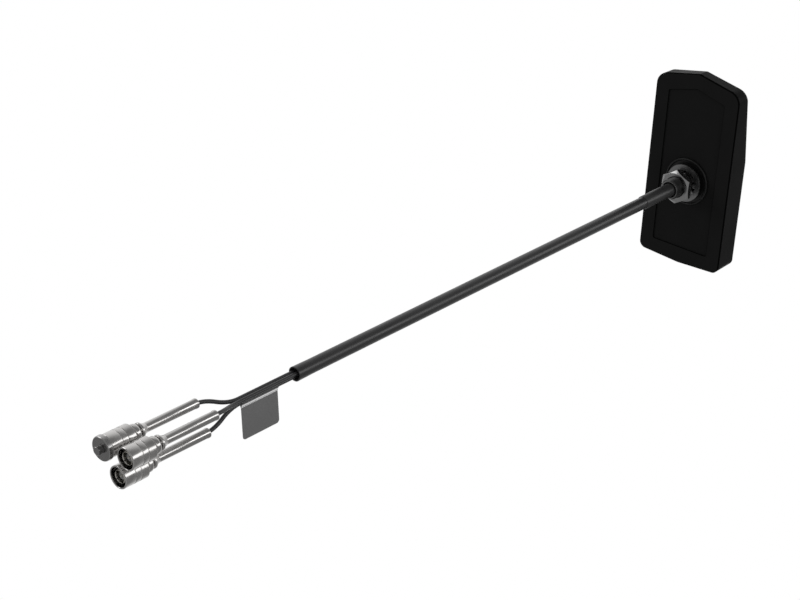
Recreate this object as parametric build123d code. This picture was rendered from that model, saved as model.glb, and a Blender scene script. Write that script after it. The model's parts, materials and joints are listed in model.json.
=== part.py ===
from build123d import *
import math
import os

# Low-profile roof antenna with a hollow stud and three coaxial leads.
# Frame: origin on the stud axis in the mounting face, +Z up through the radome,
# +Y towards the pointed nose. The cable hangs straight down along -Z.
# All sizes are in millimetres.

os.makedirs("parts", exist_ok=True)

# Radome and base outline
body_width = 73.8
nose_apex_y = 88.0
nose_shoulder_y = 80.0
rear_corner_y = -67.9
rear_apex_y = -70.0
nose_corner_r = 10.0
rear_corner_r = 5.5

# Radome form
body_height = 24.0
slope_start_y = 21.0
slope_angle = 9.6
radome_wall = 2.4
radome_draft = 1.0
top_edge_r = 2.4
parting_z = 1.6
parting_bevel = 0.35

# Base plate
base_floor_z = 3.2
base_edge = 0.25
pocket_half_width = 25.0
pocket_shoulder_y = 69.2
pocket_apex_y = 75.9
pocket_rear_y = -56.6
pocket_corner_r = 1.5
pocket_depth = 1.1
tongue_gap = 0.15
tongue_width = 2.6
tongue_top_z = 6.0
seal_groove_inset = 0.8
seal_groove_width = 1.2
seal_groove_depth = 0.7
seal_gap = 0.05
hub_r = 15.0
hub_top_z = 5.0
rib_width = 1.6
rib_height = 1.2
rib_foot_z = 1.5

# Stud, nut, washer and gasket
stud_r = 8.0
stud_bore_r = 6.0
stud_flat_x = -7.2
stud_tip_z = -24.4
stud_chamfer = 0.7
stud_throat_chamfer = 1.0
stud_flange_r = 11.5
stud_flange_t = 2.0
stud_hole_gap = 0.05
nut_across_flats = 24.0
nut_front_z = -16.8
nut_height = 5.2
nut_chamfer_r = 11.3
nut_chamfer_angle = 30.0
nut_turn = 28.0
nut_thread_gap = 0.03
nut_countersink = 0.5
washer_r = 15.0
washer_front_z = -5.1
washer_t = 1.4
washer_root_r = 10.7
washer_tip_gap = 0.27
washer_teeth = 10
washer_twist = 14.0
tooth_root = 0.6
tooth_share = 0.62
tooth_t = 1.26
gasket_bore_gap = 0.5
gasket_lip_r = 18.2
gasket_lip_width = 1.5
gasket_lip_z = -1.1
gasket_web_z = 0.2
gasket_inner_lip_width = 3.0
gasket_inner_lip_step = 0.4

# Circuit board and what it carries
board_t = 1.6
board_z = 7.0
board_margin = 7.4
board_rear_y = -60.0
board_front_y = 66.0
board_hole_r = 14.0
board_corner_r = 4.0
board_hole_gap = 0.2
standoff_r = 3.2
screw_r = 1.25
screw_head_r = 2.5
screw_head_t = 1.6
screw_head_top_r = 2.0
screw_length = 6.0
screw_hole_gap = 0.05
screw_tip_room = 0.3
screw_places = ((-24.0, -54.0), (24.0, -54.0), (-24.0, 60.0), (24.0, 60.0))
patch_size = 25.0
patch_t = 4.0
patch_y = 44.0
patch_corner = 1.6
patch_pin_r = 0.5
patch_pin_gap = 0.1
patch_pin_tail = 0.8
patch_pin_head_r = 1.3
patch_pin_head_top_r = 0.9
patch_pin_head_t = 0.5
can_size = (24.0, 17.0, 3.0)
can_y = 21.0
can_wall = 0.3
can_corner_r = 1.0
can_top_r = 0.5
radiator_sheet = 0.5
radiator_length = 42.0
radiator_y = -34.0
radiator_room = 2.0
radiator_outer_x = 27.0
radiator_inner_x = 9.0
radiator_bend_r = 1.5
radiator_leg = 5.0
radiator_lip = 4.0
radiator_slot_width = 1.6
radiator_slot_margin = 6.0
radiator_slot_shift = 2.0

# Coaxial leads and the sleeve round them
lead_r = 1.35
lead_angles = (30.0, 150.0, 270.0)
bundle_gap = 0.09
lead_bend_r = 13.5
lead_rise = 4.0
lead_clamp_gap = 0.05
saddle_length = 6.0
saddle_wall = 1.6
saddle_lip = 0.8
saddle_set_back = 4.0
lead_inner_end_r = 24.0
sleeve_r = 4.7
sleeve_bore_r = 3.75
sleeve_top_z = -9.0
sleeve_mouth_z = -433.0
sleeve_flare_r = 4.95
sleeve_flare_length = 14.0
relief_r = 5.25
relief_gap = 0.02
relief_top_z = -7.0
relief_end_z = -60.0
relief_edge = 0.25
relief_edge_length = 1.2
grommet_low_z = -17.0
grommet_high_z = -4.0
grommet_edge = 0.3
grommet_hole_gap = 0.3
fork_z = -487.0
join_z = -500.0
lead_end_gap = 0.2

# Label flag
flag_high_z = -447.8
flag_low_z = -478.5
flag_drop = 25.5
flag_turn = -4.5
flag_film = 0.1
flag_loop_gap = 0.03
flag_corner_r = 2.2

# Push-pull plugs: the numbers along a plug are measured back from its front face
plug_front_z = -574.0
plug_places = ((9.8, 5.2), (-7.2, 4.4), (0.0, -10.9))
barrel_r = 7.35
barrel_length = 17.6
barrel_mouth_r = 6.3
barrel_mouth_depth = 10.5
barrel_chamfer = 0.35
barrel_grooves = (7.5, 11.7)
groove_width = 0.5
groove_depth = 0.3
guide_r = 4.75
guide_gap = 0.1
release_travel = 1.2
release_stop_gap = 0.05
guide_front = 9.0
spring_room_r = 5.85
spring_room_front = 12.0
spring_room_rear = 16.25
stop_ring_t = 0.8
stop_ring_gap = 0.05
spring_pleats = 1
spring_sheet = 0.3
spring_end_gap = 0.1
collar_r = 5.55
collar_length = 4.6
collar_front_edge = 1.0
collar_rear_edge = 2.2
second_ring_r = 4.9
second_ring_length = 1.9
second_ring_edge = 0.7
rim_steps = 2
neck_groove_r = 3.3
neck_groove_width = 0.6
neck_length = 3.4
neck_taper_length = 1.5
neck_step = 0.5
stem_r = 2.3
stem_length = 12.0
stem_bore_r = 1.0
ferrule_r = 3.0
ferrule_rear = 69.0
ferrule_rim_r = 3.2
ferrule_rim_length = 1.6
ferrule_edge = 0.3
ferrule_stem_gap = 0.05
ferrule_lead_gap = 0.08
ferrule_throat_gap = 1.5
ferrule_throat_length = 1.0
contact_r = 4.2
contact_wall = 0.5
contact_front = 1.2
contact_rear = 13.0
contact_edge = 0.2
contact_bead = 0.15
contact_bead_front = 0.5
contact_bead_width = 0.4
contact_slots = 4
contact_slot_width = 0.6
contact_slot_length = 6.0
insulator_front = 3.0
insulator_gap = 0.05
insulator_nose_r = 2.4
insulator_nose_length = 4.0
pin_r = 0.68
pin_front = 1.8
pin_rear = 24.0
insulator_tail = 3.2
insulator_end_gap = 0.2
pin_tip_r = 0.4

# End cap on the first plug
cap_r = 7.95
cap_t = 3.4
cap_gap = 0.3
cap_plug_gap = 0.15
cap_plug_depth = 4.0
cap_grip_gap = 0.05
cap_edge = 0.6
knob_neck_r = 1.8
knob_neck_length = 1.0
knob_r = 2.7
knob_length = 2.2
knob_edge = 0.7
knob_root = 0.2

# Worked-out values
board_top_z = board_z + board_t
board_half_width = body_width / 2 - board_margin
radiator_top_z = body_height - radome_wall - radiator_room
bundle_r = lead_r * 2 / math.sqrt(3) + bundle_gap
flag_loop_r = lead_r + flag_loop_gap
slope_fall = math.tan(math.radians(slope_angle))
lead_level_z = board_top_z + lead_rise
stop_ring_front = spring_room_rear - stop_ring_gap - stop_ring_t
spring_front = spring_room_front + release_travel + spring_end_gap
collar_front = barrel_length + release_travel + release_stop_gap
collar_rear = collar_front + collar_length
ring_front = collar_rear + neck_groove_width
ring_rear = ring_front + second_ring_length
neck_rear = ring_rear + neck_length
stem_rear = neck_rear + stem_length
lead_end_z = plug_front_z + stem_rear + lead_end_gap
insulator_rear = pin_rear - insulator_tail
ferrule_bore_r = lead_r + ferrule_lead_gap
far = 200.0
cut_over = 1.0


def write(part, name):
    """Writes one node's solid or group of solids."""
    export_step(part, "parts/" + name + ".step")


def turned(points, closed=True):
    """A solid of revolution about Z from (radius, z) points."""
    outline_wire = Polyline(*[(r, 0, z) for r, z in points], close=closed)
    return revolve(make_face(outline_wire), Axis.Z, 360)


def body_outline(inset):
    """The outline of base and radome as a face at z = 0, moved in by an inset."""
    half = body_width / 2
    points = [
        (-half, rear_corner_y),
        (0, rear_apex_y),
        (half, rear_corner_y),
        (half, nose_shoulder_y),
        (0, nose_apex_y),
        (-half, nose_shoulder_y),
    ]
    face = make_face(Polyline(*points, close=True))
    rear = [v for v in face.vertices() if v.Y < 0 and abs(v.X) > 1]
    face = fillet(rear, rear_corner_r)
    front = [v for v in face.vertices() if abs(v.Y - nose_shoulder_y) < 0.01]
    face = fillet(front, nose_corner_r)
    if inset > 0:
        face = offset(face, amount=-inset, kind=Kind.INTERSECTION)
    return face


def half_space(point, normal):
    """A large block that starts at a point and lies on the side of the normal."""
    place = Plane(origin=point, z_dir=normal)
    block = Box(4 * far, 4 * far, far, align=(Align.CENTER, Align.CENTER, Align.MIN))
    return place * block


def radome_form(inset, low_z):
    """The closed form of the radome, moved in by an inset all over."""
    height = body_height - inset - low_z
    form = extrude(Pos(0, 0, low_z) * body_outline(inset), amount=height, taper=radome_draft)
    slope_normal = (0, math.sin(math.radians(slope_angle)), math.cos(math.radians(slope_angle)))
    slope_point = tuple(
        a - inset * n for a, n in zip((0, slope_start_y, body_height), slope_normal)
    )
    form -= half_space(slope_point, slope_normal)
    return form


def radome():
    """The moulded cover: a wedge-nosed shell open at the base."""
    outer = radome_form(0, parting_z)
    bevelled = extrude(Pos(0, 0, parting_z) * body_outline(0), amount=body_height)
    bevelled = chamfer(bevelled.faces().sort_by(Axis.Z)[0].edges(), parting_bevel)
    outer = outer & bevelled
    top_edges = [
        e for e in outer.edges()
        if e.center().Z > tongue_top_z
        and abs(e.center().X) > 1
        and abs(e.tangent_at(0.5).Z) < 0.9
    ]
    outer = fillet(top_edges, top_edge_r)
    inner = radome_form(radome_wall, parting_z - cut_over)
    return outer - inner


def board_posts(radius, low_z, high_z):
    """One round post at each board screw."""
    post = Cylinder(radius, high_z - low_z, align=(Align.CENTER, Align.CENTER, Align.MIN))
    return [Pos(x, y, low_z) * post for x, y in screw_places]


def base_plate():
    """The moulded base: mounting rim, pocket, stud hub, board posts and sealing tongue."""
    tongue_inset = radome_wall + tongue_gap
    flange = extrude(body_outline(0), amount=parting_z)
    flange = chamfer(flange.faces().sort_by(Axis.Z)[0].edges(), base_edge)
    flange = chamfer(flange.faces().sort_by(Axis.Z)[-1].edges(), parting_bevel)
    tongue = extrude(body_outline(tongue_inset), amount=tongue_top_z)
    tongue = tongue & radome_form(tongue_inset, parting_z - cut_over)
    well = extrude(
        Pos(0, 0, base_floor_z) * body_outline(tongue_inset + tongue_width),
        amount=tongue_top_z,
    )
    plate = flange + (tongue - well)
    plate -= seal_ring(seal_groove_inset, seal_groove_width)
    rib_rise = base_floor_z + rib_height - rib_foot_z
    rib_span_y = board_front_y - board_rear_y
    rib_box = (Align.CENTER, Align.CENTER, Align.MIN)
    for x in (-board_half_width / 2, board_half_width / 2):
        rib = Box(rib_width, rib_span_y, rib_rise, align=rib_box)
        plate += Pos(x, (board_front_y + board_rear_y) / 2, rib_foot_z) * rib
    for y in (board_rear_y / 2, 0, board_front_y / 2):
        rib = Box(2 * board_half_width, rib_width, rib_rise, align=rib_box)
        plate += Pos(0, y, rib_foot_z) * rib
    hub = Cylinder(hub_r, hub_top_z - rib_foot_z, align=rib_box)
    plate += Pos(0, 0, rib_foot_z) * hub
    for post in board_posts(standoff_r, rib_foot_z, board_z):
        plate += post
    hole_low_z = board_top_z - screw_length - screw_tip_room
    for hole in board_posts(screw_r + screw_hole_gap, hole_low_z, board_z + cut_over):
        plate -= hole
    pocket_points = [
        (-pocket_half_width, pocket_rear_y),
        (pocket_half_width, pocket_rear_y),
        (pocket_half_width, pocket_shoulder_y),
        (0, pocket_apex_y),
        (-pocket_half_width, pocket_shoulder_y),
    ]
    pocket_face = make_face(Polyline(*pocket_points, close=True))
    corners = [v for v in pocket_face.vertices() if abs(v.X) > 1]
    pocket_face = fillet(corners, pocket_corner_r)
    plate -= extrude(pocket_face, amount=pocket_depth)
    bore = stud_section(stud_r + stud_hole_gap, stud_flat_x - stud_hole_gap)
    plate -= extrude(bore, amount=hub_top_z + cut_over)
    return plate


def stud_section(radius, flat_x):
    """The stud's round section with its one flat, as a face at z = 0."""
    cut = Rectangle(far, far, align=(Align.MAX, Align.CENTER))
    return Circle(radius) - Pos(flat_x, 0) * cut


def seal_ring(inset, width):
    """A ring along the outline, from the groove floor up to the parting face."""
    low = Pos(0, 0, parting_z - seal_groove_depth)
    ring = extrude(low * body_outline(inset), amount=seal_groove_depth)
    return ring - extrude(low * body_outline(inset + width), amount=seal_groove_depth)


def perimeter_seal():
    """The sealing cord between base and radome, in its groove."""
    return seal_ring(seal_groove_inset + seal_gap, seal_groove_width - 2 * seal_gap)


def threaded_stud():
    """The hollow stud: a round bar with one flat, flanged inside the base."""
    length = hub_top_z - stud_tip_z
    shank = extrude(Pos(0, 0, stud_tip_z) * stud_section(stud_r, stud_flat_x), amount=length)
    tip = turned([
        (0, stud_tip_z),
        (stud_r - stud_chamfer, stud_tip_z),
        (stud_r, stud_tip_z + stud_chamfer),
        (stud_r, hub_top_z),
        (0, hub_top_z),
    ])
    shank = shank & tip
    flange = Cylinder(stud_flange_r, stud_flange_t, align=(Align.CENTER, Align.CENTER, Align.MIN))
    stud = shank + Pos(0, 0, hub_top_z) * flange
    bore_height = length + stud_flange_t + 2 * cut_over
    bore = Cylinder(stud_bore_r, bore_height, align=(Align.CENTER, Align.CENTER, Align.MIN))
    stud -= Pos(0, 0, stud_tip_z - cut_over) * bore
    mouth = stud.faces().sort_by(Axis.Z)[0].edges().sort_by(SortBy.LENGTH)[0]
    stud = chamfer(mouth, stud_chamfer / 2)
    throat = stud.faces().sort_by(Axis.Z)[-1].edges().sort_by(SortBy.LENGTH)[0]
    return chamfer(throat, stud_throat_chamfer)


def hex_nut():
    """The thin hexagon nut, chamfered on both faces."""
    corner_r = nut_across_flats / math.sqrt(3)
    hexagon = RegularPolygon(corner_r, 6, rotation=nut_turn)
    nut = extrude(Pos(0, 0, nut_front_z) * hexagon, amount=nut_height)
    fall = (corner_r + 1 - nut_chamfer_r) * math.tan(math.radians(nut_chamfer_angle))
    low = nut_front_z
    high = nut_front_z + nut_height
    nut = nut & turned([
        (0, low),
        (nut_chamfer_r, low),
        (corner_r + 1, low + fall),
        (corner_r + 1, high - fall),
        (nut_chamfer_r, high),
        (0, high),
    ])
    thread_r = stud_r + nut_thread_gap
    mouth_r = thread_r + nut_countersink + cut_over
    bore = turned([
        (0, low - cut_over),
        (mouth_r, low - cut_over),
        (thread_r, low + nut_countersink),
        (thread_r, high - nut_countersink),
        (mouth_r, high + cut_over),
        (0, high + cut_over),
    ])
    return nut - bore


def lock_washer():
    """The toothed lock washer: a flat ring with twisted inner teeth."""
    mid_z = washer_front_z + washer_t / 2
    ring = Circle(washer_r) - Circle(washer_root_r)
    washer = extrude(Pos(0, 0, washer_front_z) * ring, amount=washer_t)
    tip_r = stud_r + washer_tip_gap
    tooth_length = washer_root_r - tip_r + tooth_root
    tooth_width = tooth_share * 2 * math.pi * tip_r / washer_teeth
    tooth = Box(tooth_length, tooth_width, tooth_t, align=(Align.MIN, Align.CENTER, Align.CENTER))
    tooth = Rot(washer_twist, 0, 0) * tooth
    for i in range(washer_teeth):
        washer += Rot(0, 0, i * 360 / washer_teeth) * (Pos(tip_r, 0, mid_z) * tooth)
    return washer - Pos(0, 0, mid_z) * Cylinder(tip_r, far)


def mounting_gasket():
    """The rubber gasket in the pocket, with two rounded lips round the stud."""
    inner_r = stud_r + gasket_bore_gap
    inner_lip = inner_r + gasket_inner_lip_width
    inner_lip_z = gasket_lip_z + gasket_inner_lip_step
    lip_in = gasket_lip_r - gasket_lip_width / 2
    lip_out = gasket_lip_r + gasket_lip_width / 2
    lip_edge = gasket_lip_width / 4
    return turned([
        (inner_r, pocket_depth),
        (inner_r, inner_lip_z),
        (inner_lip, inner_lip_z),
        (inner_lip + gasket_inner_lip_step, gasket_web_z),
        (lip_in, gasket_web_z),
        (lip_in, gasket_lip_z + lip_edge),
        (lip_in + lip_edge, gasket_lip_z),
        (lip_out - lip_edge, gasket_lip_z),
        (lip_out, gasket_lip_z + lip_edge),
        (lip_out, pocket_depth),
    ])


def cable_grommet():
    """The soft grommet that grips the sleeve inside the stud."""
    outer_r = stud_bore_r - relief_gap
    inner_r = relief_r + relief_gap
    hole_r = lead_r + bundle_r + grommet_hole_gap
    return turned([
        (inner_r, grommet_low_z),
        (outer_r - grommet_edge, grommet_low_z),
        (outer_r, grommet_low_z + grommet_edge),
        (outer_r, grommet_high_z),
        (hole_r, grommet_high_z),
        (hole_r, relief_top_z + relief_gap),
        (inner_r, relief_top_z + relief_gap),
    ])


def circuit_board():
    """The main board, clear of the stud and drilled for its screws."""
    length = board_front_y - board_rear_y
    sheet = RectangleRounded(2 * board_half_width, length, board_corner_r)
    sheet = Pos(0, (board_front_y + board_rear_y) / 2) * sheet - Circle(board_hole_r)
    for x, y in screw_places:
        sheet -= Pos(x, y) * Circle(screw_r + board_hole_gap)
    sheet -= Pos(0, patch_y) * Circle(patch_pin_r + patch_pin_gap)
    return extrude(Pos(0, 0, board_z) * sheet, amount=board_t)


def board_screws():
    """The four pan-head screws, as separate solids of one group."""
    low = board_top_z - screw_length
    screw = turned([
        (0, low),
        (screw_r, low),
        (screw_r, board_top_z),
        (screw_head_r, board_top_z),
        (screw_head_top_r, board_top_z + screw_head_t),
        (0, board_top_z + screw_head_t),
    ])
    return Compound([Pos(x, y, 0) * screw for x, y in screw_places])


def navigation_patch():
    """The square ceramic patch of the satellite-navigation antenna."""
    patch = extrude(Pos(0, patch_y, board_top_z) * Rectangle(patch_size, patch_size), amount=patch_t)
    corner = patch.edges().filter_by(Axis.Z).sort_by(Axis.X)[0]
    patch = chamfer(corner, patch_corner)
    return patch - Pos(0, patch_y, board_top_z) * Cylinder(patch_pin_r + patch_pin_gap, far)


def patch_pin():
    """The feed pin down through the patch into the board."""
    top = board_top_z + patch_t
    pin = turned([
        (0, board_z - patch_pin_tail),
        (patch_pin_r, board_z - patch_pin_tail),
        (patch_pin_r, top),
        (patch_pin_head_r, top),
        (patch_pin_head_top_r, top + patch_pin_head_t),
        (0, top + patch_pin_head_t),
    ])
    return Pos(0, patch_y, 0) * pin


def shield_can():
    """The drawn tin can over the amplifier, open underneath."""
    width, depth, height = can_size
    can = extrude(Rectangle(width, depth), amount=height)
    can = fillet(can.edges().filter_by(Axis.Z), can_corner_r)
    can = fillet(can.faces().sort_by(Axis.Z)[-1].edges(), can_top_r)
    inside = extrude(Rectangle(width - 2 * can_wall, depth - 2 * can_wall), amount=height - can_wall)
    return Pos(0, can_y, board_top_z) * (can - inside)


def radiator(side):
    """One folded sheet-metal radiator: roof, side skirt and two legs on the board."""
    outer = radiator_outer_x
    inner = radiator_inner_x
    low = board_top_z
    path = FilletPolyline(
        (inner, 0, radiator_top_z - radiator_lip),
        (inner, 0, radiator_top_z),
        (outer, 0, radiator_top_z),
        (outer, 0, low),
        radius=radiator_bend_r,
    )
    start = Plane(origin=path @ 0, z_dir=path % 0, x_dir=(0, 1, 0))
    sheet = sweep(start * Rectangle(radiator_length, radiator_sheet), path=path)
    window_height = radiator_top_z - low - radiator_leg
    gap_width = radiator_length - 3 * radiator_leg
    window_box = (Align.CENTER, Align.CENTER, Align.MIN)
    window = Box(radiator_lip, gap_width / 2, window_height, align=window_box)
    step = (radiator_leg + gap_width / 2) / 2
    for y in (-step, step):
        sheet -= Pos(outer, y, low - radiator_sheet) * window
    slot = Box(outer - inner - radiator_slot_margin, radiator_slot_width, radiator_lip)
    slot_x = (outer + inner) / 2 + radiator_slot_shift
    for y in (-radiator_length / 4, 0, radiator_length / 4):
        sheet -= Pos(slot_x, y, radiator_top_z) * slot
    sheet = Pos(0, radiator_y, 0) * sheet
    if side < 0:
        sheet = mirror(sheet, about=Plane.YZ)
    return sheet


def lead_path(index):
    """The centre line of one lead, from the board to its plug."""
    angle = math.radians(lead_angles[index])
    out_x = math.cos(angle)
    out_y = math.sin(angle)
    plug_x, plug_y = plug_places[index]
    points = [
        (lead_inner_end_r * out_x, lead_inner_end_r * out_y, lead_level_z),
        (bundle_r * out_x, bundle_r * out_y, lead_level_z),
        (bundle_r * out_x, bundle_r * out_y, fork_z),
        (plug_x, plug_y, join_z),
        (plug_x, plug_y, lead_end_z),
    ]
    radii = [lead_bend_r]
    for i in (2, 3):
        before = Vector(*points[i]) - Vector(*points[i - 1])
        after = Vector(*points[i + 1]) - Vector(*points[i])
        half_turn = math.radians(before.get_angle(after)) / 2
        shorter = min(before.length, after.length)
        radii.append(0.45 * shorter / math.tan(half_turn))
    return FilletPolyline(*points, radius=radii), radii


def coax_lead(index):
    """One coaxial lead as a plain tube of its real length."""
    path, radii = lead_path(index)
    section = Plane(origin=path @ 0, z_dir=path % 0) * Circle(lead_r)
    lead = sweep(section, path=path)
    expected = math.pi * lead_r ** 2 * path.length
    print("lead", index + 1, "length", round(path.length, 1), "arc radii", [round(r, 1) for r in radii],
          "volume ratio", round(lead.volume / expected, 4))
    return lead


def lead_terminals():
    """The three raised saddles that hold the leads' inner ends on the board."""
    channel_r = lead_r + lead_clamp_gap
    width = 2 * (channel_r + saddle_wall)
    height = lead_rise + saddle_lip
    on_board = (Align.CENTER, Align.CENTER, Align.MIN)
    saddles = []
    for angle in lead_angles:
        block = Box(saddle_length, width, height, align=on_board)
        block -= Pos(0, 0, lead_rise) * Rot(0, 90, 0) * Cylinder(channel_r, far)
        slot = Box(far, 2 * channel_r, height, align=on_board)
        block -= Pos(0, 0, lead_rise) * slot
        place = Rot(0, 0, angle) * Pos(lead_inner_end_r - saddle_set_back, 0, board_top_z)
        saddles += (place * block).solids()
    return Compound(saddles)


def cable_sleeve():
    """The hollow sleeve round the three leads, a little flared at its mouth."""
    flare_z = sleeve_mouth_z + sleeve_flare_length
    return turned([
        (sleeve_bore_r, sleeve_top_z),
        (sleeve_r, sleeve_top_z),
        (sleeve_r, flare_z),
        (sleeve_flare_r, sleeve_mouth_z),
        (sleeve_bore_r + sleeve_flare_r - sleeve_r, sleeve_mouth_z),
        (sleeve_bore_r, flare_z),
    ])


def strain_relief():
    """The shrunk strain relief over the sleeve, from inside the stud."""
    inner_r = sleeve_r + relief_gap
    return turned([
        (sleeve_bore_r, relief_top_z),
        (relief_r, relief_top_z),
        (relief_r, relief_end_z + relief_edge_length),
        (relief_r - relief_edge, relief_end_z),
        (inner_r, relief_end_z),
        (inner_r, sleeve_top_z + relief_gap),
        (sleeve_bore_r, sleeve_top_z + relief_gap),
    ])


def label_flag():
    """The film label: looped round the third lead, its two halves closed into a flag."""
    loop = Circle(flag_loop_r + flag_film)
    tab = Pos(0, -flag_drop) * Rectangle(2 * flag_film, flag_drop, align=(Align.CENTER, Align.MIN))
    section = loop + tab - Circle(flag_loop_r)
    flag = extrude(Pos(0, 0, flag_low_z) * section, amount=flag_high_z - flag_low_z)
    corners = flag.edges().filter_by(Axis.X).sort_by(Axis.Y)[:2]
    flag = fillet(corners, flag_corner_r)
    angle = math.radians(lead_angles[2])
    place = Pos(bundle_r * math.cos(angle), bundle_r * math.sin(angle))
    return place * Rot(0, 0, flag_turn) * flag


def at_plug(index, piece):
    """Places a piece made along +Z from a plug's front face."""
    x, y = plug_places[index]
    return Pos(x, y, plug_front_z) * piece


def release_sleeve():
    """The sliding outer barrel: an open mouth, a guide bore and two grip grooves."""
    bore_r = guide_r + guide_gap
    points = [
        (barrel_mouth_r + barrel_chamfer, 0),
        (barrel_r - barrel_chamfer, 0),
        (barrel_r, barrel_chamfer),
    ]
    for centre in barrel_grooves:
        points += [
            (barrel_r, centre - groove_width / 2),
            (barrel_r - groove_depth, centre),
            (barrel_r, centre + groove_width / 2),
        ]
    points += [
        (barrel_r, barrel_length),
        (bore_r, barrel_length),
        (bore_r, spring_room_rear),
        (spring_room_r, spring_room_rear),
        (spring_room_r, spring_room_front),
        (bore_r, spring_room_front),
        (bore_r, barrel_mouth_depth),
        (barrel_mouth_r, barrel_mouth_depth),
        (barrel_mouth_r, barrel_chamfer),
    ]
    return turned(points)


def rounded_rim(radius, face_z, edge_r, way):
    """Profile points of a quarter-round rim; way is -1 at a front face and 1 at a rear face."""
    points = []
    for i in range(rim_steps + 1):
        turn = i * math.pi / (2 * rim_steps)
        if way > 0:
            turn = math.pi / 2 - turn
        points.append((
            radius - edge_r * (1 - math.sin(turn)),
            face_z - way * edge_r * (1 - math.cos(turn)),
        ))
    return points


def plug_body():
    """The plug's body: guide tube with stop ring, domed collar, second ring, neck, stem."""
    bore_r = contact_r - contact_wall + insulator_gap
    stop_r = spring_room_r - guide_gap
    body = turned([
        (contact_r + insulator_gap, guide_front),
        (guide_r, guide_front),
        (guide_r, stop_ring_front),
        (stop_r, stop_ring_front),
        (stop_r, stop_ring_front + stop_ring_t),
        (guide_r, stop_ring_front + stop_ring_t),
        (guide_r, collar_front),
        *rounded_rim(collar_r, collar_front, collar_front_edge, -1),
        *rounded_rim(collar_r, collar_rear, collar_rear_edge, 1),
        (neck_groove_r, collar_rear),
        (neck_groove_r, ring_front),
        *rounded_rim(second_ring_r, ring_front, second_ring_edge, -1),
        *rounded_rim(second_ring_r, ring_rear, second_ring_edge, 1),
        (ferrule_r + neck_step, ring_rear + neck_taper_length),
        (ferrule_r, neck_rear),
        (stem_r, neck_rear),
        (stem_r, stem_rear),
        (stem_bore_r, stem_rear),
        (stem_bore_r, insulator_rear + insulator_end_gap),
        (bore_r, insulator_rear + insulator_end_gap),
        (bore_r, contact_rear + insulator_gap),
        (contact_r + insulator_gap, contact_rear + insulator_gap),
    ])
    return body


def return_spring():
    """The pair of disc springs, drawn at its pressed length against the stop ring."""
    inner_r = guide_r + guide_gap
    outer_r = spring_room_r - guide_gap - spring_sheet
    pitch = (stop_ring_front - spring_front) / (2 * spring_pleats)
    radii = [inner_r, outer_r]
    inside = [(radii[i % 2], spring_front + i * pitch) for i in range(2 * spring_pleats + 1)]
    outside = [(r + spring_sheet, z) for r, z in inside]
    return turned(outside + inside[::-1])


def outer_contact():
    """The slotted spring contact inside the barrel."""
    inner_r = contact_r - contact_wall
    bead_front = contact_front + contact_bead_front
    contact = turned([
        (inner_r + contact_edge, contact_front),
        (contact_r - contact_edge, contact_front),
        (contact_r + contact_bead, bead_front),
        (contact_r + contact_bead, bead_front + contact_bead_width),
        (contact_r, bead_front + 2 * contact_bead_width),
        (contact_r, contact_rear),
        (inner_r, contact_rear),
        (inner_r, contact_front + 2 * contact_edge),
    ])
    slot = Box(
        3 * contact_r,
        contact_slot_width,
        contact_slot_length,
        align=(Align.CENTER, Align.CENTER, Align.MIN),
    )
    for i in range(contact_slots // 2):
        turn = Rot(0, 0, 45 + i * 360 / contact_slots)
        contact -= Pos(0, 0, contact_front) * (turn * slot)
    return contact


def insulator():
    """The plastic insulator that centres the pin."""
    outer_r = contact_r - contact_wall - insulator_gap
    return turned([
        (pin_r + insulator_gap, insulator_front),
        (insulator_nose_r, insulator_front),
        (insulator_nose_r, insulator_front + insulator_nose_length),
        (outer_r, insulator_front + insulator_nose_length),
        (outer_r, insulator_rear),
        (pin_r + insulator_gap, insulator_rear),
    ])


def centre_pin():
    """The centre pin with its blunt tip."""
    return turned([
        (0, pin_front),
        (pin_r - pin_tip_r, pin_front),
        (pin_r, pin_front + 2 * pin_tip_r),
        (pin_r, pin_rear),
        (0, pin_rear),
    ])


def crimp_ferrule():
    """The long ferrule from the crimp stem to the lead."""
    throat_z = stem_rear + ferrule_throat_gap
    stem_fit = stem_r + ferrule_stem_gap
    return turned([
        (stem_fit, neck_rear),
        (ferrule_r, neck_rear),
        (ferrule_r, ferrule_rear - ferrule_rim_length - ferrule_edge),
        (ferrule_rim_r, ferrule_rear - ferrule_rim_length),
        (ferrule_rim_r, ferrule_rear - ferrule_edge),
        (ferrule_rim_r - ferrule_edge, ferrule_rear),
        (ferrule_bore_r, ferrule_rear),
        (ferrule_bore_r, throat_z + ferrule_throat_length),
        (stem_fit, throat_z),
    ])


def end_cap():
    """The end cap on the first plug: a disc with a spigot inside and a knob outside."""
    spigot_r = barrel_mouth_r - cap_plug_gap
    grip_r = contact_r + contact_bead + cap_grip_gap
    face = -cap_gap - cap_t
    cap = turned([
        (0, face),
        (cap_r - cap_edge, face),
        (cap_r, face + cap_edge),
        (cap_r, -cap_gap),
        (spigot_r, -cap_gap),
        (spigot_r, cap_plug_depth),
        (grip_r, cap_plug_depth),
        (grip_r, -cap_gap),
        (0, -cap_gap),
    ])
    neck_z = face - knob_neck_length
    knob = turned([
        (0, neck_z - knob_length),
        (knob_r - knob_edge, neck_z - knob_length),
        (knob_r, neck_z - knob_length + knob_edge),
        (knob_r, neck_z),
        (knob_neck_r, neck_z),
        (knob_neck_r, face + knob_root),
        (0, face + knob_root),
    ])
    return cap + knob


# Antenna housing
write(radome(), "radome")
write(base_plate(), "base_plate")
write(perimeter_seal(), "perimeter_seal")

# Fixing parts
write(threaded_stud(), "threaded_stud")
write(hex_nut(), "hex_nut")
write(lock_washer(), "lock_washer")
write(mounting_gasket(), "mounting_gasket")

# Electronics inside
write(circuit_board(), "circuit_board")
write(board_screws(), "board_screws")
write(navigation_patch(), "navigation_patch")
write(patch_pin(), "patch_pin")
write(shield_can(), "shield_can")
write(radiator(1), "main_radiator")
write(radiator(-1), "second_radiator")
write(lead_terminals(), "lead_terminals")

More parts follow.
